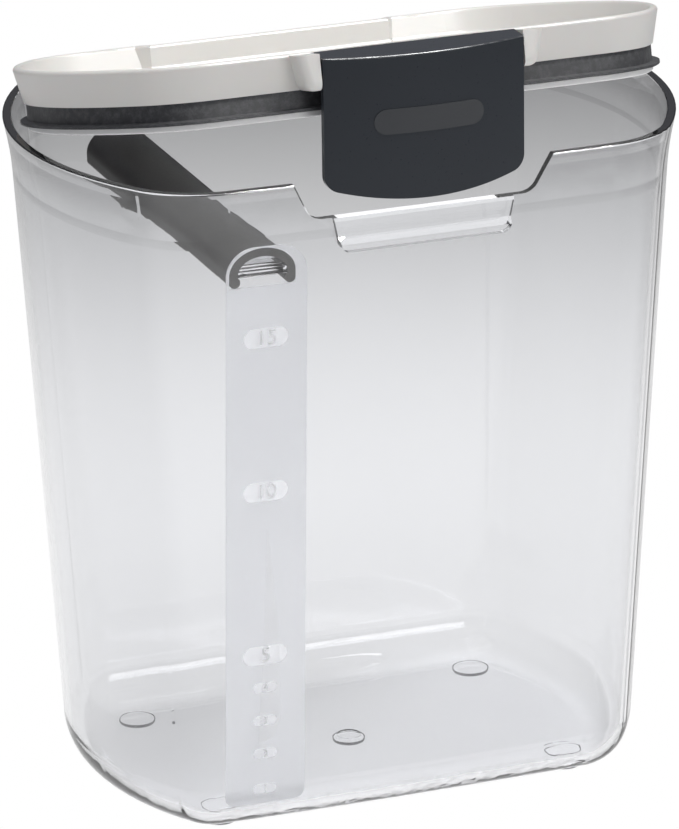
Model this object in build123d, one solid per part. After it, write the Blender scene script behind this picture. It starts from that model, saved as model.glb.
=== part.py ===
"""Clear dry-food storage bin: tinted tub, levelling bar, hinged white lid with seal, and front latch.

Units are millimetres.  +Z is up, -Y is the front (latch side), and the origin is the centre of the base.
The lid is modelled closed and level, then swung open about the hinge.  The latch is modelled hanging plumb.
"""

from build123d import *
import math
import os

# ---- tub ---------------------------------------------------------------------------------------
RIM_Z = 216.0
WALL_HALF_X = 90.8          # to the corner arcs, at rim height, before the side bow
WALL_HALF_Y = 72.7
WALL_CORNER = 30.0
BOW_FRONT = 0.93
BOW_SIDE = 12.3
DRAFT_DEG = 3.4
FLARE_Z = 206.0
FLARE_OUT = 1.66
FLARE_BLEND = 104.0
RIM_EDGE = 0.5
WALL_T = 2.3
RIM_T = 2.8
FOOT_LIFT = 1.2
FLOOR_T = 3.0
FOOT_FILLET = 15.7
FOOT_R = 6.0
FOOT_X = 58.5
FOOT_Y = 40.5
FOOT_EDGE = 0.5
GATE_R = 5.25
GATE_DISH_R = 3.9
GATE_DISH = 0.5

NOTCH_TOP_HALF = 41.9
NOTCH_FLOOR_HALF = 35.8    # where the sloping side would meet the notch floor
NOTCH_Z = 203.8
NOTCH_CORNER = 5.5

TAB_TOP_HALF = 29.2
TAB_LOW_HALF = 27.0
TAB_Z = 193.2
TAB_LIP_Z = 196.6
TAB_FACE_Y = -73.5
TAB_LIP_Y = -75.3
TAB_CORNER = 3.0

# ---- levelling bar and measuring strip -----------------------------------------------------------
BAR_X0 = -61.1
BAR_X1 = -40.2
BAR_Z0 = 184.2
BAR_Z1 = 196.2
BAR_ARCH_Z = 188.2
BAR_T = 2.6
BAR_TOE_R = 1.7
REST_Z0 = 187.4
REST_Z1 = 191.6
REST_FLUTES = 4
REST_FLUTE_R = 0.7
REST_FLUTE_OFF = 0.3
REST_REACH = 7.0
STRIP_X0 = -62.0
STRIP_X1 = -36.5
STRIP_Z0 = 11.0
STRIP_Z1 = 196.6
STRIP_TOP_CORNER = 9.0
STRIP_LOW_CORNER = 3.0
STRIP_T = 0.7
FIT_GAP = 0.12
SEAT_GAP = 0.05

# ---- lid, in its closed position -----------------------------------------------------------------
HINGE_Y = 72.5
HINGE_Z = 216.0
LID_OPEN_DEG = 13.7
LID_Z = 209.3               # underside of the shell when closed
SHELL_H = 11.2
SHELL_TOP_INSET = 2.5       # from the tub's wall outline at rim height
SHELL_LOW_INSET = 5.1
SHELL_WALL = 2.6
SHELL_FLOOR = 2.8
SHELL_EDGE = 1.1
PINCH_HALF_IN = 38.0
PINCH_HALF_OUT = 46.0
PINCH_Y = 64.2
SEAL_BAND_INSET = 5.8
SEAL_LIP_INSET = 3.5
SEAL_INNER_INSET = 8.8
SEAL_BAND_H = 5.2
SEAL_LIP_LOW = 6.6
SEAL_LIP_T = 1.0
BASE_CORE_INSET = 9.1
BASE_RIM_INSET = 5.7
BASE_LOW = 8.4
BASE_POCKET_INSET = 12.0
BASE_POCKET = 5.5

# ---- hinge ---------------------------------------------------------------------------------------
HINGE_PIN_R = 1.5
PIN_CLEAR = 0.05
KNUCKLE_R = 3.2
KNUCKLE_HALF = 26.0
LUG_X0 = 26.6
LUG_X1 = 34.0
LUG_LOW_Z = 203.0
BACK_CUT_Z = 211.4

# ---- latch ---------------------------------------------------------------------------------------
PIVOT_Y = -74.4             # pivot in the closed lid
PIVOT_Z = 217.5
LATCH_HALF = 32.2
LATCH_ABOVE = 1.95
LATCH_BEHIND = 3.8
LATCH_END_FRONT = 4.1
LATCH_BULGE = 5.1
LATCH_DROP = 43.35          # pivot down to the lowest point
LATCH_SAG = 4.6             # rise of the lower edge towards its ends
LATCH_CORNER = 5.0
LATCH_T = 2.2
LATCH_BLOCK_LOW = 3.6
LATCH_EDGE = 0.6
HOOK_DROP = 24.6
HOOK_T = 3.0
HOOK_HALF = 24.0
HOOK_BACK = 1.5
LATCH_PIN_R = 1.4
LATCH_PIN_HALF = 37.6
EAR_X0 = 32.6
EAR_TOP_X1 = 39.6
EAR_LOW_X1 = 37.0
EAR_TOE = 3.2
EAR_FRONT_Y = -77.4
EAR_LOW = -0.4
BADGE_HALF = 17.6
BADGE_HALF_H = 3.9
BADGE_DROP = 18.6
BADGE_PROUD = 0.25

BIG = 400.0


def bowed_outline(inset, z):
    """Closed outline of eight tangent arcs: bowed long sides, strongly bowed ends and round corners."""
    half_x = WALL_HALF_X - inset
    half_y = WALL_HALF_Y - inset
    corner = WALL_CORNER - inset
    cx = half_x - corner
    cy = half_y - corner - BOW_FRONT
    front_r = (cx**2 + BOW_FRONT**2) / (2 * BOW_FRONT) + corner
    side_r = (cy**2 + BOW_SIDE**2) / (2 * BOW_SIDE) + corner
    end_x = half_x + BOW_SIDE
    to_front = Vector(cx, -cy - (front_r - half_y)).normalized()
    to_side = Vector(cx - (end_x - side_r), -cy).normalized()
    mid = (to_front + to_side).normalized()
    centre = Vector(cx, -cy)
    on_front = centre + to_front * corner
    on_side = centre + to_side * corner
    on_mid = centre + mid * corner

    def at(p, sx, sy):
        return (p.X * sx, p.Y * sy, z)

    edges = [
        ThreePointArc(at(on_front, -1, 1), (0, -half_y, z), at(on_front, 1, 1)),
        ThreePointArc(at(on_front, 1, 1), at(on_mid, 1, 1), at(on_side, 1, 1)),
        ThreePointArc(at(on_side, 1, 1), (end_x, 0, z), at(on_side, 1, -1)),
        ThreePointArc(at(on_side, 1, -1), at(on_mid, 1, -1), at(on_front, 1, -1)),
        ThreePointArc(at(on_front, 1, -1), (0, half_y, z), at(on_front, -1, -1)),
        ThreePointArc(at(on_front, -1, -1), at(on_mid, -1, -1), at(on_side, -1, -1)),
        ThreePointArc(at(on_side, -1, -1), (-end_x, 0, z), at(on_side, -1, 1)),
        ThreePointArc(at(on_side, -1, 1), at(on_mid, -1, 1), at(on_front, -1, 1)),
    ]
    return make_face(edges)


def slab(low_inset, low_z, high_inset, high_z):
    """A solid whose wall runs straight from one outline to another."""
    taper = math.degrees(math.atan2(low_inset - high_inset, high_z - low_z))
    return extrude(bowed_outline(low_inset, low_z), amount=high_z - low_z, dir=(0, 0, 1), taper=-taper)


def drafted_inset(z):
    return (RIM_Z - z) * math.tan(math.radians(DRAFT_DEG))


def tub_form(thickness, rim_thickness, floor_z, foot_fillet):
    """The tub's outer shape, or its cavity when a thickness is given."""
    wall = slab(drafted_inset(floor_z) + thickness, floor_z, drafted_inset(FLARE_Z) + thickness, FLARE_Z)
    wall = fillet(wall.faces().sort_by(Axis.Z)[0].edges(), foot_fillet)
    flare = slab(drafted_inset(FLARE_Z) + thickness, FLARE_Z, rim_thickness - FLARE_OUT, RIM_Z)
    form = wall + flare
    level = [e for e in form.edges() if e.bounding_box().size.Z < 0.01]
    crease = [e for e in level if abs(e.center().Z - FLARE_Z) < 0.01]
    return fillet(crease, FLARE_BLEND)


def wall_y(z):
    """Half depth of the tub's outer wall on the centre line."""
    return WALL_HALF_Y - drafted_inset(z)


def cylinder_x(radius, x0, x1, y, z):
    return extrude(Plane(origin=(x0, y, z), z_dir=(1, 0, 0)) * Circle(radius), amount=x1 - x0)


def box(x0, x1, y0, y1, z0, z1):
    return Pos((x0 + x1) / 2, (y0 + y1) / 2, (z0 + z1) / 2) * Box(x1 - x0, y1 - y0, z1 - z0)


def prism_y(points, corners, radius, y0, y1):
    """An XZ polygon with the named corners rounded, extruded along Y."""
    face = make_face(Polyline(*[(x, 0, z) for x, z in points], close=True))
    picked = [v for v in face.vertices() if any(abs(v.X - x) + abs(v.Z - z) < 1e-3 for x, z in corners)]
    if picked:
        face = fillet(picked, radius)
    return extrude(Pos(0, y0, 0) * face, amount=y1 - y0, dir=(0, 1, 0))


def prism_x(points, x0, x1):
    """A YZ polygon extruded along X."""
    face = make_face(Polyline(*[(x0, y, z) for y, z in points], close=True))
    return extrude(face, amount=x1 - x0, dir=(1, 0, 0))


def rim_notch():
    """The cut in the front rim that the latch and its ears drop into."""
    low = [(-NOTCH_FLOOR_HALF, NOTCH_Z), (NOTCH_FLOOR_HALF, NOTCH_Z)]
    slope = (NOTCH_TOP_HALF - NOTCH_FLOOR_HALF) / (RIM_Z - NOTCH_Z)
    over = 6.0
    top = [
        (NOTCH_TOP_HALF + slope * over, RIM_Z + over),
        (-NOTCH_TOP_HALF - slope * over, RIM_Z + over),
    ]
    return prism_y(low + top, low, NOTCH_CORNER, -BIG / 4, -BIG / 8)


def catch_tab():
    """Lip under the notch that the latch's hook grips from below."""
    inside = -wall_y(NOTCH_Z) + 1.0
    section = prism_x(
        [
            (inside, NOTCH_Z),
            (TAB_FACE_Y + 0.6, NOTCH_Z),
            (TAB_FACE_Y, NOTCH_Z - 1.0),
            (TAB_FACE_Y, TAB_LIP_Z + 1.2),
            (TAB_LIP_Y, TAB_LIP_Z - 0.8),
            (TAB_LIP_Y, TAB_Z),
            (inside, TAB_Z),
        ],
        -TAB_TOP_HALF,
        TAB_TOP_HALF,
    )
    low = [(-TAB_LOW_HALF, TAB_Z), (TAB_LOW_HALF, TAB_Z)]
    front = prism_y(
        low + [(TAB_TOP_HALF, NOTCH_Z), (-TAB_TOP_HALF, NOTCH_Z)], low, TAB_CORNER, -BIG / 4, -BIG / 8
    )
    return section & front


def hinge_lugs():
    """Two lugs on the back rim that hold the hinge pin."""
    lugs = []
    for sign in (-1, 1):
        x0 = min(sign * LUG_X0, sign * LUG_X1)
        x1 = max(sign * LUG_X0, sign * LUG_X1)
        boss = cylinder_x(KNUCKLE_R, x0, x1, HINGE_Y, HINGE_Z)
        stem = prism_x(
            [
                (wall_y(LUG_LOW_Z) - 1.5, LUG_LOW_Z),
                (wall_y(LUG_LOW_Z) - 0.3, LUG_LOW_Z),
                (HINGE_Y + KNUCKLE_R, HINGE_Z - 4.0),
                (HINGE_Y + KNUCKLE_R, HINGE_Z),
                (HINGE_Y - KNUCKLE_R, HINGE_Z),
                (wall_y(RIM_Z) - RIM_T + 0.2, FLARE_Z),
            ],
            x0,
            x1,
        )
        lugs.append(boss + stem)
    return lugs


def arch(grow, low_z):
    """Arched section of the levelling bar, grown or shrunk, run right through the tub along Y."""
    mid = (BAR_X0 + BAR_X1) / 2
    half = (BAR_X1 - BAR_X0) / 2 + grow
    rise = BAR_Z1 - BAR_ARCH_Z + grow
    plane = Plane(origin=(mid, -BIG / 4, BAR_ARCH_Z), x_dir=(1, 0, 0), z_dir=(0, 1, 0))
    crown = extrude(plane * Ellipse(half, rise), amount=BIG / 2)
    crown = crown & box(-BIG, BIG, -BIG, BIG, BAR_ARCH_Z, BIG)
    return crown + box(mid - half, mid + half, -BIG / 4, BIG / 4, low_z, BAR_ARCH_Z)


def bar_rests():
    """Fluted ledges inside the front and back walls that the levelling bar sits over."""
    reach = wall_y(REST_Z0) - WALL_T
    end = reach - REST_REACH
    form = arch(-BAR_T - SEAT_GAP, REST_Z0)
    rests = []
    for sign in (-1, 1):
        near, far = sorted((sign * end, sign * (reach + 1.6)))
        rest = form & box(-BIG, BIG, near, far, REST_Z0, REST_Z1)
        for step in range(REST_FLUTES):
            z = REST_Z0 + (step + 0.5) * (REST_Z1 - REST_Z0) / REST_FLUTES
            rest = rest - cylinder_x(REST_FLUTE_R, BAR_X0, BAR_X1, sign * (end - REST_FLUTE_OFF), z)
        rests.append(rest)
    return rests


def round_pad(radius):
    """A moulded foot: short disc with a rounded lower edge."""
    pad = Cylinder(radius, FOOT_LIFT + 1.0, align=(Align.CENTER, Align.CENTER, Align.MIN))
    return fillet(pad.edges().sort_by(Axis.Z)[:1], FOOT_EDGE)


def tub():
    """Clear tub: drafted walls, flared rim, front notch, catch tab, feet, hinge lugs and bar rests."""
    outer = tub_form(0, 0, FOOT_LIFT, FOOT_FILLET)
    cavity = tub_form(WALL_T, RIM_T, FOOT_LIFT + FLOOR_T, FOOT_FILLET - WALL_T)
    body = outer - cavity
    body = fillet(body.faces().sort_by(Axis.Z)[-1].edges(), RIM_EDGE)
    body = body - rim_notch()
    body = body - box(-LUG_X0 - 0.1, LUG_X0 + 0.1, WALL_HALF_Y / 2, BIG / 4, BACK_CUT_Z, RIM_Z + 5)
    body = body + catch_tab()
    for lug in hinge_lugs():
        body = body + lug
    for rest in bar_rests():
        body = body + rest
    for x in (-FOOT_X, FOOT_X):
        for y in (-FOOT_Y, FOOT_Y):
            body = body + Pos(x, y, 0) * round_pad(FOOT_R)
    body = body + round_pad(GATE_R)
    dish = Pos(0, 0, FOOT_LIFT + FLOOR_T - GATE_DISH) * Cylinder(
        GATE_DISH_R, 2 * GATE_DISH, align=(Align.CENTER, Align.CENTER, Align.MIN)
    )
    body = body - dish
    body = body - cylinder_x(HINGE_PIN_R + PIN_CLEAR, -LUG_X1 - 1, LUG_X1 + 1, HINGE_Y, HINGE_Z)
    return body


def cavity_form(gap):
    """The space inside the tub, shrunk by a gap."""
    return tub_form(WALL_T + gap, RIM_T + gap, FOOT_LIFT + FLOOR_T + gap, FOOT_FILLET - WALL_T - gap)


def levelling_bar():
    """Arched channel across the tub, with turned-in toes, that scrapes a heaped scoop flat."""
    channel = arch(0, BAR_Z0 + BAR_TOE_R) - arch(-BAR_T, BAR_Z0 - 1)
    for x in (BAR_X0 + BAR_TOE_R, BAR_X1 - BAR_TOE_R):
        plane = Plane(origin=(x, -BIG / 4, BAR_Z0 + BAR_TOE_R), z_dir=(0, 1, 0))
        channel = channel + extrude(plane * Circle(BAR_TOE_R), amount=BIG / 2)
    return channel & cavity_form(FIT_GAP)


def measuring_strip():
    """Frosted strip bonded to the inside of the front wall, from under the bar down onto the foot curve."""
    over = 40.0
    far, near = -BIG / 4, -BIG / 13
    top = [(STRIP_X0, STRIP_Z1), (STRIP_X1, STRIP_Z1)]
    low = [(STRIP_X0, STRIP_Z0), (STRIP_X1, STRIP_Z0)]
    below = [(STRIP_X1, STRIP_Z0 - over), (STRIP_X0, STRIP_Z0 - over)]
    above = [(STRIP_X1, STRIP_Z1 + over), (STRIP_X0, STRIP_Z1 + over)]
    rounded_top = prism_y(top + below, top, STRIP_TOP_CORNER, far, near)
    rounded_low = prism_y(low + above, low, STRIP_LOW_CORNER, far, near)
    strip = (cavity_form(SEAT_GAP) & rounded_top & rounded_low) - cavity_form(SEAT_GAP + STRIP_T)
    return strip - arch(FIT_GAP, BAR_Z0 - FIT_GAP)


def swing_lid(shape):
    """Turn a closed-position shape to the open position about the hinge."""
    axis = Axis((0, HINGE_Y, HINGE_Z), (1, 0, 0))
    return shape.rotate(axis, -LID_OPEN_DEG)


def pinch(inset_in, z0, z1):
    """Block removed from the middle of the lid's back edge, or kept solid there when widened."""
    reach = inset_in
    face = make_face(
        Polyline(
            (-PINCH_HALF_IN - reach, PINCH_Y - reach, z0),
            (PINCH_HALF_IN + reach, PINCH_Y - reach, z0),
            (PINCH_HALF_OUT + reach, PINCH_Y + 10, z0),
            (-PINCH_HALF_OUT - reach, PINCH_Y + 10, z0),
            close=True,
        )
    )
    return extrude(face, amount=z1 - z0, dir=(0, 0, 1))


def ears():
    """Two lugs beside the latch; their outer edges lean in to follow the notch and their toes are round."""
    top = LID_Z + SHELL_H - 0.5
    low = LID_Z + EAR_LOW
    pair = []
    for sign in (-1, 1):
        outer_toe = (sign * EAR_LOW_X1, low)
        points = [(sign * EAR_X0, low), outer_toe, (sign * EAR_TOP_X1, top), (sign * EAR_X0, top)]
        front = prism_y(points, [outer_toe], EAR_TOE, EAR_FRONT_Y, -62)
        lower_edge = [e for e in front.edges().filter_by(GeomType.LINE) if abs(e.center().Z - low) < 0.01]
        front_low = sorted(lower_edge, key=lambda e: e.center().Y)[:1]
        front = fillet(front_low, EAR_TOE - 0.4) if front_low else front
        pair.append(front)
    return pair


def knuckle():
    """Hinge barrel on the back of the lid."""
    barrel = cylinder_x(KNUCKLE_R, -KNUCKLE_HALF, KNUCKLE_HALF, HINGE_Y, HINGE_Z)
    web = box(-KNUCKLE_HALF, KNUCKLE_HALF, PINCH_Y - 1.2, HINGE_Y, HINGE_Z - 1.6, HINGE_Z + 2.4)
    return barrel + web


def lid_shell():
    """White tray with an upstanding flared rim, ears for the latch and the hinge barrel."""
    top = LID_Z + SHELL_H
    form = slab(SHELL_LOW_INSET, LID_Z, SHELL_TOP_INSET, top)
    form = form - pinch(0, LID_Z - 1, top + 1)
    hollow = slab(
        SHELL_LOW_INSET + SHELL_WALL, LID_Z + SHELL_FLOOR, SHELL_TOP_INSET + SHELL_WALL, top + 0.01
    )
    hollow = hollow - pinch(SHELL_WALL, LID_Z, top + 2)
    hollow = fillet(hollow.faces().sort_by(Axis.Z)[0].edges(), 2.0)
    shell = form - hollow
    shell = fillet(shell.faces().sort_by(Axis.Z)[-1].edges(), SHELL_EDGE)
    shell = shell - box(-EAR_X0, EAR_X0, -BIG / 4, -69.3, LID_Z - 1, top + 1)
    for ear in ears():
        shell = shell + (ear - hollow)
    shell = shell + knuckle()
    shell = shell - cylinder_x(HINGE_PIN_R + PIN_CLEAR, -KNUCKLE_HALF - 1, KNUCKLE_HALF + 1, HINGE_Y, HINGE_Z)
    hole_half = LATCH_PIN_HALF + 0.2
    pin_hole = cylinder_x(LATCH_PIN_R + PIN_CLEAR, -hole_half, hole_half, PIVOT_Y, PIVOT_Z)
    return swing_lid(shell - pin_hole)


def lid_seal():
    """Rubber seal: upright band with a thin lip below that wipes the tub wall."""
    band_low = LID_Z - SEAL_BAND_H
    lip_low = LID_Z - SEAL_LIP_LOW
    top = LID_Z - SEAT_GAP
    band = slab(SEAL_BAND_INSET, lip_low, SEAL_BAND_INSET, top)
    lip = slab(SEAL_LIP_INSET, lip_low + 0.2, SEAL_LIP_INSET, lip_low + SEAL_LIP_T)
    root = slab(SEAL_LIP_INSET + 0.4, lip_low + SEAL_LIP_T, SEAL_BAND_INSET, band_low)
    ring = band + lip + root
    return swing_lid(ring - slab(SEAL_INNER_INSET, LID_Z - BIG / 8, SEAL_INNER_INSET, LID_Z + 5))


def lid_base():
    """White plate under the lid that holds the seal on."""
    core = slab(BASE_CORE_INSET, LID_Z - SEAL_LIP_LOW - SEAT_GAP, BASE_CORE_INSET, LID_Z - SEAT_GAP)
    plate = slab(BASE_RIM_INSET, LID_Z - BASE_LOW, BASE_RIM_INSET, LID_Z - SEAL_LIP_LOW - SEAT_GAP)
    plate = fillet(plate.faces().sort_by(Axis.Z)[0].edges(), 0.6)
    pocket = slab(
        BASE_POCKET_INSET, LID_Z - BASE_LOW - 1, BASE_POCKET_INSET, LID_Z - BASE_LOW + BASE_POCKET
    )
    return swing_lid((core + plate) - pocket)


def pivot_open():
    """Where the latch pivot sits with the lid in its open position."""
    lean = math.radians(LID_OPEN_DEG)
    dy = PIVOT_Y - HINGE_Y
    dz = PIVOT_Z - HINGE_Z
    return (
        HINGE_Y + dy * math.cos(lean) + dz * math.sin(lean),
        HINGE_Z - dy * math.sin(lean) + dz * math.cos(lean),
    )


def bulged_plan(back, end_front, bulge, half, z0, z1):
    """Straight-backed plan with a bulged front, drawn about the pivot and extruded in Z."""
    edges = [
        Line((-half, back, z0), (-half, -end_front, z0)),
        ThreePointArc((-half, -end_front, z0), (0, -end_front - bulge, z0), (half, -end_front, z0)),
        Line((half, -end_front, z0), (half, back, z0)),
        Line((half, back, z0), (-half, back, z0)),
    ]
    return extrude(make_face(edges), amount=z1 - z0, dir=(0, 0, 1))


def latch_outline():
    """Front view of the latch: square top, curved lower edge with round corners."""
    end_z = -LATCH_DROP + LATCH_SAG
    edges = [
        Line((-LATCH_HALF, 0, LATCH_ABOVE), (LATCH_HALF, 0, LATCH_ABOVE)),
        Line((LATCH_HALF, 0, LATCH_ABOVE), (LATCH_HALF, 0, end_z)),
        ThreePointArc((LATCH_HALF, 0, end_z), (0, 0, -LATCH_DROP), (-LATCH_HALF, 0, end_z)),
        Line((-LATCH_HALF, 0, end_z), (-LATCH_HALF, 0, LATCH_ABOVE)),
    ]
    face = make_face(edges)
    low = face.vertices().sort_by(Axis.Z)[:2]
    face = fillet(low, LATCH_CORNER)
    return extrude(Pos(0, -BIG / 8, 0) * face, amount=BIG / 4, dir=(0, 1, 0))


def latch():
    """Latch hanging plumb from its pin, with the gripping hook on its back."""
    solid = bulged_plan(LATCH_BEHIND, LATCH_END_FRONT, LATCH_BULGE, LATCH_HALF, -LATCH_DROP - 1, LATCH_ABOVE)
    solid = solid & latch_outline()
    hollow = bulged_plan(
        LATCH_BEHIND + 5,
        LATCH_END_FRONT - LATCH_T,
        LATCH_BULGE,
        LATCH_HALF - LATCH_T,
        -LATCH_DROP - 2,
        -LATCH_BLOCK_LOW,
    )
    wide = LATCH_HALF + 1
    sides = box(-wide, wide, -LATCH_END_FRONT + LATCH_T, BIG / 8, -LATCH_DROP - 2, -LATCH_BLOCK_LOW)
    body = solid - hollow - sides
    edges = body.edges().group_by(Axis.Z)[-1].sort_by(Axis.Y)[:1]
    body = fillet(edges, LATCH_EDGE)
    hook_low = -HOOK_DROP - HOOK_T
    hook = bulged_plan(HOOK_BACK, LATCH_END_FRONT - 1, LATCH_BULGE, HOOK_HALF, hook_low, -HOOK_DROP)
    body = body + (hook & latch_outline())
    body = body - cylinder_x(LATCH_PIN_R + PIN_CLEAR, -LATCH_HALF - 1, LATCH_HALF + 1, 0, 0)
    y, z = pivot_open()
    return Pos(0, y, z) * body


def latch_badge():
    """Blank raised capsule on the front of the latch."""
    plan = bulged_plan(0, LATCH_END_FRONT + BADGE_PROUD, LATCH_BULGE, LATCH_HALF, -BIG / 8, LATCH_ABOVE)
    behind = LATCH_END_FRONT + SEAT_GAP
    skin = plan - bulged_plan(1, behind, LATCH_BULGE, LATCH_HALF + 1, -BIG / 8 - 1, LATCH_ABOVE + 1)
    capsule = make_face(SlotOverall(2 * BADGE_HALF, 2 * BADGE_HALF_H).edges())
    capsule = extrude(Plane.XZ * capsule, amount=BIG / 8, dir=(0, -1, 0))
    y, z = pivot_open()
    return Pos(0, y, z) * (skin & (Pos(0, 0, -BADGE_DROP) * capsule))


def latch_pin():
    y, z = pivot_open()
    return cylinder_x(LATCH_PIN_R, -LATCH_PIN_HALF, LATCH_PIN_HALF, y, z)


def hinge_pin():
    return cylinder_x(HINGE_PIN_R, -LUG_X1 + 0.2, LUG_X1 - 0.2, HINGE_Y, HINGE_Z)


PARTS = {
    "tub": tub,
    "measuring_strip": measuring_strip,
    "levelling_bar": levelling_bar,
    "hinge_pin": hinge_pin,
    "lid_shell": lid_shell,
    "lid_base": lid_base,
    "lid_seal": lid_seal,
    "latch": latch,
    "latch_badge": latch_badge,
    "latch_pin": latch_pin,
}

os.makedirs("parts", exist_ok=True)
for name, build in PARTS.items():
    export_step(build(), f"parts/{name}.step")
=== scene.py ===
"""Studio view of the dry-food storage bin: finishes, printed scale, floor, light and camera.

Metres, in the CAD frame: +Z up, -Y the latch side, origin at the centre of the base.
"""
import bpy
import math
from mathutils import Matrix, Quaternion, Vector


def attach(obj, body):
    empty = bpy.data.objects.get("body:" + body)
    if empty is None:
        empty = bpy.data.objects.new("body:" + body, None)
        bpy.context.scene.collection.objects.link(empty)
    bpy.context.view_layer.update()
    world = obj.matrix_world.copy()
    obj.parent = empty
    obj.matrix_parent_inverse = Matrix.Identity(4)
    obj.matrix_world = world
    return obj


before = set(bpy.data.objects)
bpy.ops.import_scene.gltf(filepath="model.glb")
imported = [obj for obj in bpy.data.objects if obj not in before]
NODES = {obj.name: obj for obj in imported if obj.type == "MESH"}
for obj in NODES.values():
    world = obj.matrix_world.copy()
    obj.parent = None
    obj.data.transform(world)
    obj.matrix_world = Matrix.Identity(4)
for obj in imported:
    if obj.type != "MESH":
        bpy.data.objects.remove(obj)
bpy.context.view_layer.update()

# ---- camera ------------------------------------------------------------------------------------
VIEW_AZIMUTH = math.radians(-20.29)
VIEW_ELEVATION = math.radians(19.62)
VIEW_ROLL = math.radians(-0.82)
VIEW_DISTANCE = 1.9064
VIEW_TARGET = Vector((-0.0005, 0.0020, 0.1128))
LENS_MM = 260.6
SENSOR_MM = 36.0

# ---- room --------------------------------------------------------------------------------------
FLOOR_HALF = 12.0
FLOOR_GAP = 0.0004
POOL_NEAR = 0.98
POOL_FAR = 0.10
POOL_REACH = (0.24, 1.0)
# Painted shadow on the floor under the object: how bright the pool stays at its middle, and the
# distances over which it fades out.
UNDER_SHADOW_LEVEL = 0.88
UNDER_SHADOW_REACH = (0.06, 0.12)
POOL_FRONT = 0.5
POOL_FRONT_REACH = (0.40, 0.75)
POOL_FRONT_Y = (-0.20, -0.02)
FLOOR_GLOW = 0.85
FLOOR_GLOW_LESS = 0.5
LAMP_AIM = Vector((0, 0, 0.12))
HORIZON = (0.036, 0.037, 0.066)
HORIZON_AT = 0.10
ZENITH = (0.55, 0.55, 0.56)
ZENITH_AT = 0.60

# ---- printed scale -----------------------------------------------------------------------------
SCALE_X = -0.0495
LARGE_MARKS = {"15": 0.1671, "10": 0.1166, "5": 0.0617}
SMALL_MARKS = {"4": 0.0507, "3": 0.0394, "2": 0.0281, "1": 0.0160}
LARGE_HALF = (0.0072, 0.0032)
SMALL_HALF = (0.0039, 0.0017)
WALL_DRAFT = math.radians(3.4)
WALL_INNER_Y_AT_RIM = -0.0704
RIM_Z = 0.216
LARGE_TEXT = 0.0068
SMALL_TEXT = 0.0034
NUMERAL_DEPTH = 0.00006

# ---- moulded plastics: colour range, roughness, grain per metre and its depth --------------------
ROUGHNESS_SPREAD = 0.03
MOTTLE_SCALE = 14.0
MOULDED = {
    "lid_shell": {
        "dark": (0.760, 0.745, 0.711), "light": (0.795, 0.780, 0.746),
        "rough": 0.36, "grain_scale": 1500.0, "grain_depth": 0.00003, "sub": 0.08,
    },
    "lid_base": {
        "dark": (0.84, 0.84, 0.83), "light": (0.88, 0.88, 0.87),
        "rough": 0.36, "grain_scale": 1500.0, "grain_depth": 0.00003,
    },
    "levelling_bar": {
        "dark": (0.024, 0.023, 0.021), "light": (0.033, 0.031, 0.028),
        "rough": 0.46, "grain_scale": 1100.0, "grain_depth": 0.00002,
    },
    "latch": {
        "dark": (0.0182, 0.0222, 0.0292), "light": (0.0208, 0.0256, 0.0334),
        "rough": 0.30, "grain_scale": 1600.0, "grain_depth": 0.00001,
    },
    "latch_badge": {
        "dark": (0.026, 0.029, 0.034), "light": (0.034, 0.037, 0.042),
        "rough": 0.52, "grain_scale": 1800.0, "grain_depth": 0.00004,
    },
}


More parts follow.
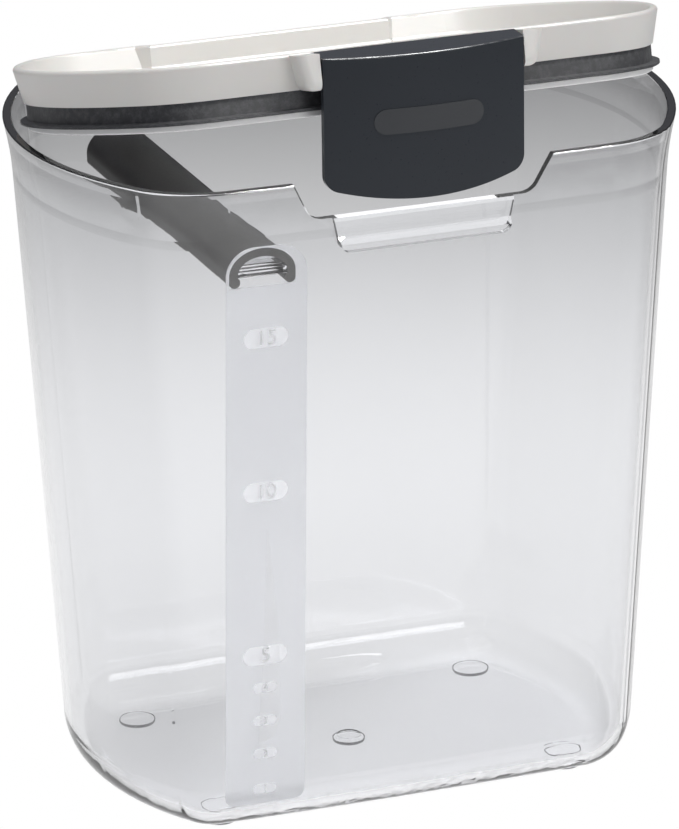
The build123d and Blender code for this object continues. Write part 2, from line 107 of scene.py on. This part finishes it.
# ---- node helpers ------------------------------------------------------------------------------
class Tree:
    """A material's node tree with short ways to add and link nodes."""

    def __init__(self, name):
        self.material = bpy.data.materials.new(name)
        self.material.use_nodes = True
        self.nodes = self.material.node_tree.nodes
        self.links = self.material.node_tree.links
        self.nodes.clear()
        self.output = self.nodes.new("ShaderNodeOutputMaterial")
        self.coords = self.nodes.new("ShaderNodeTexCoord").outputs["Object"]

    def link(self, source, target):
        self.links.new(source, target)

    def feed(self, value, socket):
        """Set a socket, or link it when the value is another node's output."""
        if isinstance(value, bpy.types.NodeSocket):
            self.link(value, socket)
        else:
            socket.default_value = value

    def math(self, operation, a, b=0.0):
        node = self.nodes.new("ShaderNodeMath")
        node.operation = operation
        self.feed(a, node.inputs[0])
        self.feed(b, node.inputs[1])
        return node.outputs[0]

    def noise(self, scale, detail=3.0, rough=0.5, stretch=(1, 1, 1)):
        """Noise in the object's own coordinates."""
        mapping = self.nodes.new("ShaderNodeMapping")
        mapping.inputs["Scale"].default_value = stretch
        self.link(self.coords, mapping.inputs["Vector"])
        node = self.nodes.new("ShaderNodeTexNoise")
        node.inputs["Scale"].default_value = scale
        node.inputs["Detail"].default_value = detail
        node.inputs["Roughness"].default_value = rough
        self.link(mapping.outputs[0], node.inputs["Vector"])
        return node.outputs["Fac"]

    def span(self, value, low, high, from_low=0.3, from_high=0.7, smooth=False):
        """Map a value's range onto low to high, straight or as a smooth step."""
        node = self.nodes.new("ShaderNodeMapRange")
        if smooth:
            node.interpolation_type = "SMOOTHSTEP"
        node.inputs["From Min"].default_value = from_low
        node.inputs["From Max"].default_value = from_high
        node.inputs["To Min"].default_value = low
        node.inputs["To Max"].default_value = high
        self.link(value, node.inputs["Value"])
        return node.outputs["Result"]

    def blend(self, factor, a, b):
        node = self.nodes.new("ShaderNodeMix")
        node.data_type = "RGBA"
        self.feed(factor, node.inputs[0])
        self.feed((*a, 1) if isinstance(a, tuple) else a, node.inputs[6])
        self.feed((*b, 1) if isinstance(b, tuple) else b, node.inputs[7])
        return node.outputs[2]

    def bump(self, height, distance, strength=1.0):
        node = self.nodes.new("ShaderNodeBump")
        node.inputs["Distance"].default_value = distance
        node.inputs["Strength"].default_value = strength
        self.link(height, node.inputs["Height"])
        return node.outputs["Normal"]

    def principled(self, **sockets):
        node = self.nodes.new("ShaderNodeBsdfPrincipled")
        for name, value in sockets.items():
            socket = node.inputs[name.replace("_", " ")]
            if isinstance(value, tuple):
                value = (*value, 1)
            self.feed(value, socket)
        return node

    def finish(self, shader):
        self.link(shader.outputs[0], self.output.inputs["Surface"])
        return self.material

    def axis(self, index):
        node = self.nodes.new("ShaderNodeSeparateXYZ")
        self.link(self.coords, node.inputs[0])
        return node.outputs[index]


def let_lamps_through(tree, shader, tint):
    """Glass-like plastic that shadow rays cross, so what stands inside it is lit."""
    clear = tree.nodes.new("ShaderNodeBsdfTransparent")
    clear.inputs["Color"].default_value = (*tint, 1)
    path = tree.nodes.new("ShaderNodeLightPath")
    mix = tree.nodes.new("ShaderNodeMixShader")
    tree.link(path.outputs["Is Shadow Ray"], mix.inputs[0])
    tree.link(shader.outputs[0], mix.inputs[1])
    tree.link(clear.outputs[0], mix.inputs[2])
    return mix


# ---- finishes ----------------------------------------------------------------------------------
def smoke_clear_plastic():
    """Clear moulded plastic with a cool smoke tint and the faint ripple of moulding flow."""
    t = Tree("smoke_clear_plastic")
    flow = t.noise(9.0, 2.0, 0.4, (1.0, 1.0, 0.35))
    scuff = t.noise(160.0, 4.0, 0.6)
    tint = t.blend(flow, (0.875, 0.88, 0.895), (0.90, 0.903, 0.912))
    shader = t.principled(
        Base_Color=tint,
        Roughness=t.span(scuff, 0.0, 0.008),
        IOR=1.53,
        Transmission_Weight=1.0,
        Normal=t.bump(flow, 0.0006),
    )
    return t.finish(let_lamps_through(t, shader, (0.86, 0.865, 0.88)))


def capsule_mask(t, x, z, centre_z, half):
    """1 inside a capsule on the strip, 0 outside."""
    straight = half[0] - half[1]
    off_centre = t.math("ABSOLUTE", t.math("SUBTRACT", x, SCALE_X))
    dx = t.math("MAXIMUM", t.math("SUBTRACT", off_centre, straight), 0.0)
    dz = t.math("SUBTRACT", z, centre_z)
    square = t.math("ADD", t.math("MULTIPLY", dx, dx), t.math("MULTIPLY", dz, dz))
    return t.math("LESS_THAN", square, half[1] ** 2)


def frosted_strip():
    """Frosted panel with clear capsule windows at the cup marks."""
    t = Tree("frosted_strip")
    x = t.axis(0)
    z = t.axis(2)
    windows = None
    for marks, half in ((LARGE_MARKS, LARGE_HALF), (SMALL_MARKS, SMALL_HALF)):
        for height in marks.values():
            mask = capsule_mask(t, x, z, height, half)
            windows = mask if windows is None else t.math("MAXIMUM", windows, mask)
    grain = t.noise(1400.0, 3.0, 0.7)
    cloud = t.noise(30.0, 2.0)
    shade = t.blend(cloud, (0.755, 0.757, 0.763), (0.785, 0.787, 0.792))
    shader = t.principled(
        Base_Color=t.blend(windows, shade, (0.90, 0.90, 0.907)),
        Roughness=t.math("SUBTRACT", 0.55, t.math("MULTIPLY", windows, 0.4)),
        Transmission_Weight=t.math("ADD", 0.55, t.math("MULTIPLY", windows, 0.2)),
        IOR=1.45,
        Normal=t.bump(grain, 0.00004, 0.6),
    )
    return t.finish(let_lamps_through(t, shader, (0.7, 0.7, 0.71)))


def numeral_ink():
    """The frosting of the numerals, a shade darker than the strip."""
    t = Tree("frosted_numeral")
    grain = t.noise(900.0)
    return t.finish(t.principled(
        Base_Color=t.blend(grain, (0.60, 0.602, 0.61), (0.66, 0.662, 0.67)),
        Roughness=t.span(grain, 0.5, 0.65),
    ))


def moulded_plastic(name, dark, light, rough, grain_scale, grain_depth, sub=0.0):
    """Satin moulded plastic: soft mottle in the colour, fine spark texture in the surface."""
    t = Tree(name)
    mottle = t.noise(MOTTLE_SCALE)
    grain = t.noise(grain_scale, 4.0, 0.65)
    extra = {}
    if sub:
        extra = {"Subsurface_Weight": sub, "Subsurface_Scale": 0.002}
    return t.finish(t.principled(
        Base_Color=t.blend(t.span(mottle, 0.0, 1.0), dark, light),
        Roughness=t.span(grain, rough - ROUGHNESS_SPREAD, rough + ROUGHNESS_SPREAD),
        IOR=1.48,
        Normal=t.bump(grain, grain_depth, 0.5),
        **extra,
    ))


def seal_rubber():
    """Charcoal silicone with a dusty bloom."""
    t = Tree("seal_rubber")
    bloom = t.noise(420.0, 6.0, 0.75)
    wide = t.noise(25.0, 2.0)
    shade = t.blend(t.span(bloom, 0.0, 1.0, 0.45, 0.72), (0.030, 0.031, 0.035), (0.085, 0.087, 0.092))
    return t.finish(t.principled(
        Base_Color=shade,
        Roughness=t.span(wide, 0.45, 0.62),
        Specular_IOR_Level=0.6,
        Normal=t.bump(bloom, 0.00006, 0.7),
    ))


def pin_steel():
    """Drawn steel wire: streaks along X."""
    t = Tree("pin_steel")
    streak = t.noise(600.0, 3.0, 0.6, (0.04, 1.0, 1.0))
    return t.finish(t.principled(
        Base_Color=t.blend(streak, (0.52, 0.52, 0.53), (0.68, 0.68, 0.69)),
        Metallic=1.0,
        Roughness=t.span(streak, 0.22, 0.38),
        Normal=t.bump(streak, 0.00003, 0.5),
    ))


def finish_nodes():
    """Each CAD node gets its own procedural finish."""
    steel = pin_steel()
    finishes = {
        "tub": smoke_clear_plastic(),
        "measuring_strip": frosted_strip(),
        "lid_seal": seal_rubber(),
        "hinge_pin": steel,
        "latch_pin": steel,
    }
    for node, look in MOULDED.items():
        finishes[node] = moulded_plastic(node + "_plastic", **look)
    for name, material in finishes.items():
        slots = NODES[name].data.materials
        slots.clear()
        slots.append(material)


# ---- printed scale -----------------------------------------------------------------------------
def wall_point(x, z):
    """A point on the inner face of the drafted front wall."""
    return Vector((x, WALL_INNER_Y_AT_RIM + (RIM_Z - z) * math.tan(WALL_DRAFT), z))


def numeral(text, z, height, ink):
    """A flat numeral standing on the strip's front face."""
    curve = bpy.data.curves.new("cup_mark_" + text, "FONT")
    curve.body = text
    curve.size = height
    curve.align_x = "CENTER"
    curve.align_y = "CENTER"
    curve.extrude = NUMERAL_DEPTH / 2
    holder = bpy.data.objects.new("cup_mark_curve", curve)
    bpy.context.scene.collection.objects.link(holder)
    bpy.context.view_layer.update()
    mesh = bpy.data.meshes.new_from_object(holder.evaluated_get(bpy.context.evaluated_depsgraph_get()))
    bpy.data.objects.remove(holder)
    piece = bpy.data.objects.new("cup_mark_" + text, mesh)
    bpy.context.scene.collection.objects.link(piece)
    piece.location = wall_point(SCALE_X, z)
    piece.rotation_euler = (math.radians(90) + WALL_DRAFT, 0, 0)
    mesh.materials.clear()
    mesh.materials.append(ink)
    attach(piece, "container")


def printed_scale():
    """Plain numbers at the cup marks."""
    ink = numeral_ink()
    for text, z in LARGE_MARKS.items():
        numeral(text, z, LARGE_TEXT, ink)
    for text, z in SMALL_MARKS.items():
        numeral(text, z, SMALL_TEXT, ink)


# ---- floor, light, camera ----------------------------------------------------------------------
def floor():
    """Wide floor: white to the camera, and to other rays a pool of light that dims with distance, with
    a painted shadow under the object and a brighter patch in front that only reflections see.
    """
    mesh = bpy.data.meshes.new("floor")
    corners = [(x * FLOOR_HALF, y * FLOOR_HALF, 0) for x, y in ((-1, -1), (1, -1), (1, 1), (-1, 1))]
    mesh.from_pydata(corners, [], [(0, 1, 2, 3)])
    obj = bpy.data.objects.new("floor", mesh)
    obj.location.z = -FLOOR_GAP
    bpy.context.scene.collection.objects.link(obj)
    t = Tree("pale_floor")
    grain = t.noise(40.0)
    diffuse = t.principled(
        Base_Color=t.blend(grain, (0.80, 0.80, 0.805), (0.82, 0.82, 0.825)),
        Roughness=0.7,
    )
    x = t.axis(0)
    y = t.axis(1)
    distance = t.math("SQRT", t.math("ADD", t.math("MULTIPLY", x, x), t.math("MULTIPLY", y, y)))
    around = t.span(distance, POOL_NEAR, POOL_FAR, *POOL_REACH, smooth=True)
    # Painted shadow: the pool is dimmed right under the object.
    painted_shadow_under = t.span(distance, UNDER_SHADOW_LEVEL, 1.0, *UNDER_SHADOW_REACH, smooth=True)
    ahead = t.span(distance, POOL_FRONT, 0.0, *POOL_FRONT_REACH, smooth=True)
    in_front = t.span(y, 1.0, 0.0, *POOL_FRONT_Y, smooth=True)
    path = t.nodes.new("ShaderNodeLightPath")
    mirrored = t.math("MULTIPLY", in_front, path.outputs["Is Glossy Ray"])
    pool = t.math("ADD", t.math("MULTIPLY", around, painted_shadow_under), t.math("MULTIPLY", ahead, mirrored))
    seen = path.outputs["Is Camera Ray"]
    pool = t.math("ADD", seen, t.math("MULTIPLY", pool, t.math("SUBTRACT", 1.0, seen)))
    white = t.nodes.new("ShaderNodeEmission")
    white.inputs["Color"].default_value = (1, 1, 1, 1)
    t.feed(pool, white.inputs["Strength"])
    mix = t.nodes.new("ShaderNodeMixShader")
    less = t.math("MULTIPLY", path.outputs["Is Diffuse Ray"], FLOOR_GLOW_LESS)
    glow = t.math("SUBTRACT", FLOOR_GLOW, less)
    t.link(t.math("MAXIMUM", seen, glow), mix.inputs[0])
    t.link(diffuse.outputs[0], mix.inputs[1])
    t.link(white.outputs[0], mix.inputs[2])
    mesh.materials.append(t.finish(mix))


def studio_world():
    """Room light: white to the camera, and navy-dark at the horizon to other rays."""
    world = bpy.data.worlds.new("studio")
    bpy.context.scene.world = world
    world.use_nodes = True
    nodes = world.node_tree.nodes
    links = world.node_tree.links
    nodes.clear()
    out = nodes.new("ShaderNodeOutputWorld")
    coords = nodes.new("ShaderNodeTexCoord")
    split = nodes.new("ShaderNodeSeparateXYZ")
    links.new(coords.outputs["Generated"], split.inputs[0])
    ramp = nodes.new("ShaderNodeValToRGB")
    links.new(split.outputs[2], ramp.inputs[0])
    stops = ((HORIZON_AT, HORIZON), (ZENITH_AT, ZENITH))
    for element, (position, colour) in zip(ramp.color_ramp.elements, stops):
        element.position = position
        element.color = (*colour, 1)
    room = nodes.new("ShaderNodeBackground")
    links.new(ramp.outputs[0], room.inputs["Color"])
    white = nodes.new("ShaderNodeBackground")
    white.inputs["Color"].default_value = (1, 1, 1, 1)
    path = nodes.new("ShaderNodeLightPath")
    mix = nodes.new("ShaderNodeMixShader")
    links.new(path.outputs["Is Camera Ray"], mix.inputs[0])
    links.new(room.outputs[0], mix.inputs[1])
    links.new(white.outputs[0], mix.inputs[2])
    links.new(mix.outputs[0], out.inputs["Surface"])


def softbox(place, size, power, unseen_by=()):
    """A rectangular lamp aimed at the middle of the object, hidden from the camera."""
    light = bpy.data.lights.new("softbox", "AREA")
    light.shape = "RECTANGLE"
    light.size, light.size_y = size
    light.energy = power
    obj = bpy.data.objects.new("softbox", light)
    obj.location = place
    obj.rotation_euler = (LAMP_AIM - Vector(place)).to_track_quat("-Z", "Y").to_euler()
    obj.visible_camera = False
    for rays in unseen_by:
        setattr(obj, "visible_" + rays, False)
    bpy.context.scene.collection.objects.link(obj)


def studio_lights():
    """Top key, a glint that only edges mirror, a low front box and a soft fill from the right."""
    softbox((-0.05, 0.0, 1.5), (1.3, 1.1), 10.5)
    softbox((0.43, -0.44, 1.4), (0.5, 0.25), 55.0, unseen_by=("diffuse", "transmission"))
    softbox((0.65, -1.75, 0.72), (0.8, 0.32), 6.0)
    softbox((1.4, -0.3, 0.7), (0.4, 1.3), 2.0, unseen_by=("glossy", "transmission"))


def camera():
    """Long lens, turned about the view axis by the roll."""
    back = Vector((
        math.sin(VIEW_AZIMUTH) * math.cos(VIEW_ELEVATION),
        -math.cos(VIEW_AZIMUTH) * math.cos(VIEW_ELEVATION),
        math.sin(VIEW_ELEVATION),
    ))
    data = bpy.data.cameras.new("camera")
    data.lens = LENS_MM
    data.sensor_width = SENSOR_MM
    data.sensor_fit = "AUTO"
    data.clip_start = 0.01
    data.clip_end = 100.0
    obj = bpy.data.objects.new("camera", data)
    obj.location = VIEW_TARGET + back * VIEW_DISTANCE
    obj.rotation_mode = "QUATERNION"
    obj.rotation_quaternion = back.to_track_quat("Z", "Y") @ Quaternion((0, 0, 1), VIEW_ROLL)
    bpy.context.scene.collection.objects.link(obj)
    bpy.context.scene.camera = obj


def scene_settings():
    scene = bpy.context.scene
    scene.view_settings.view_transform = "Standard"
    scene.view_settings.look = "None"
    scene.cycles.max_bounces = 24
    scene.cycles.transmission_bounces = 20
    scene.cycles.transparent_max_bounces = 16
    scene.cycles.sample_clamp_indirect = 6.0


finish_nodes()
printed_scale()
floor()
studio_world()
studio_lights()
camera()
scene_settings()

bpy.context.view_layer.update()
